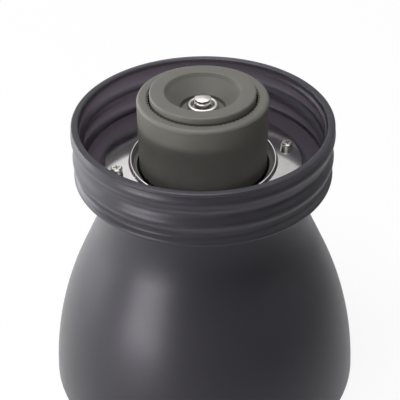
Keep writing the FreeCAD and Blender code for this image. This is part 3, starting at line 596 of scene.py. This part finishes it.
around = add(tree, "GeometryNodeInstanceOnPoints", Points=spots.outputs[0],
             Instance=screw.outputs[0], Rotation=spin.outputs[0])
close_tree(tree, around.outputs[0], turned_steel)
screws = grow("cross_head_screws", tree, SCREW)
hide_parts("plate_screws")
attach(screws, "hopper")

# %% [markdown]
# The knob's bore has 72 fine ribs, and the click spring's nose runs over them as the knob turns. From
# above they show as a toothed line in the gap round the disc. A six-sided bar half sunk in the
# bore's wall is enough for one rib, and a ring of points carries it round.

# %% Click ribs inside the knob
RIBS = {"Bore": 15.12 * MM, "Rib radius": 0.45 * MM, "Height": 6.1 * MM, "Foot": 88.35 * MM, "Count": 72}
tree, size = new_tree("click_ribs", RIBS)
rib_bar = add(tree, "GeometryNodeMeshCone", Vertices=6, Radius_Top=size["Rib radius"],
              Radius_Bottom=size["Rib radius"], Depth=size["Height"])
ring = add(tree, "GeometryNodeMeshCircle", Vertices=size["Count"], Radius=size["Bore"])
lift = add(tree, "ShaderNodeCombineXYZ", Z=size["Foot"])
ring_up = add(tree, "GeometryNodeTransform", Geometry=ring.outputs[0], Translation=lift.outputs[0])
around = add(tree, "GeometryNodeInstanceOnPoints", Points=ring_up.outputs[0], Instance=rib_bar.outputs[0])
close_tree(tree, around.outputs[0], grey)
ribs = grow("knob_click_ribs", tree, RIBS)
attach(ribs, "knob")

# %% [markdown]
# The shaft keeps the CAD's flats, collar and grooves. The photograph shows its tip lower in the dish
# and crisper, so a copy of the node's mesh is merged and cut off above the clip, and a turned tip
# with one groove takes the place of what was cut. Moving the copy's own points down would bend
# its groove out of shape.

# %% Shaft
CUT = 92.3
WELD = 0.001 * MM
tip = lathe("shaft_tip", [(0, CUT - 0.2), (2.3, CUT - 0.2), (2.3, 92.6), (1.9, 92.65), (1.9, 93.05),
                          (2.3, 93.1), (2.3, 94.2), (2.1, 94.4), (0, 94.4)], 64, turned_steel)
work = bmesh.new()
work.from_mesh(nodes["drive_shaft"].data)
bmesh.ops.remove_doubles(work, verts=work.verts, dist=WELD)
bmesh.ops.bisect_plane(work, geom=work.verts[:] + work.edges[:] + work.faces[:],
                       plane_co=(0, 0, CUT * MM), plane_no=(0, 0, 1), clear_outer=True)
bmesh.ops.holes_fill(work, edges=work.edges, sides=0)
work.from_mesh(tip.data)
bmesh.ops.remove_doubles(work, verts=work.verts, dist=WELD)
shaft_mesh = bpy.data.meshes.new("turned_shaft")
work.to_mesh(shaft_mesh)
work.free()
bpy.data.meshes.remove(tip.data)
shaft_mesh.validate()
shaft_mesh.polygons.foreach_set("use_smooth", [True] * len(shaft_mesh.polygons))
shaft_mesh.set_sharp_from_angle(angle=math.radians(30))
shaft_mesh.polygons.foreach_set("material_index", [0] * len(shaft_mesh.polygons))
shaft_mesh.materials.append(turned_steel)
shaft = bpy.data.objects.new("turned_shaft", shaft_mesh)
bpy.context.scene.collection.objects.link(shaft)
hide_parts("drive_shaft")
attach(shaft, "drive")
print("turned_shaft: %d faces" % len(shaft_mesh.polygons))

# %% [markdown]
# Under the inner burr a coil spring pushes it up, and it gets shorter as the burr goes down. A spiral
# curve with a round profile is a spring as it is wound. It rides on the shaft's collar. The washer below
# the collar is turned a hair thinner than its room, so that it never rubs into the bush as the shaft
# turns.

# %% Burr spring and thrust washer
SPRING = {"Radius": 4.2 * MM, "Wire radius": 0.45 * MM, "Rise": 12.05 * MM, "Turns": 6.0,
          "Foot": 53.37 * MM}
tree, size = new_tree("burr_spring", SPRING)
coil = add(tree, "GeometryNodeCurveSpiral", Resolution=32, Rotations=size["Turns"],
           Start_Radius=size["Radius"], End_Radius=size["Radius"], Height=size["Rise"])
wire = add(tree, "GeometryNodeCurvePrimitiveCircle", Resolution=12, Radius=size["Wire radius"])
wound = add(tree, "GeometryNodeCurveToMesh", Curve=coil.outputs[0], Profile_Curve=wire.outputs[0],
            Fill_Caps=True)
lift = add(tree, "ShaderNodeCombineXYZ", Z=size["Foot"])
wound_up = add(tree, "GeometryNodeTransform", Geometry=wound.outputs[0], Translation=lift.outputs[0])
close_tree(tree, wound_up.outputs[0], spring_steel)
spring = grow("drawn_spring", tree, SPRING)
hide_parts("burr_spring")
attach(spring, "drive")
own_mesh(spring)

washer = lathe("turned_washer", softened([
    (3.05, 50.83, 0.1), (5.5, 50.83, 0.1), (5.5, 51.57, 0.1), (3.05, 51.57, 0.1)], 3), 64, turned_steel)
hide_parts("thrust_washer")
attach(washer, "drive")

# %% [markdown]
# The other nodes are right as the CAD has them: housing, burrs, bushes, click spring and clips.
# They only need their finishes, which go into the slots of their own objects.

# %% Finishes on the CAD nodes
FINISH = {
    "burr_housing": black_nylon, "outer_burr": ceramic, "inner_burr": ceramic, "bush_lower": acetal,
    "bush_upper": acetal, "shaft_clip": spring_steel, "click_spring": spring_steel,
    "tip_clip": spring_steel, "burr_insert": black_nylon, "knob_nut": brass, "knob_washer": acetal,
}
for name, material in FINISH.items():
    for slot in nodes[name].material_slots:
        slot.material = material
print("CAD nodes dressed:", len(FINISH))
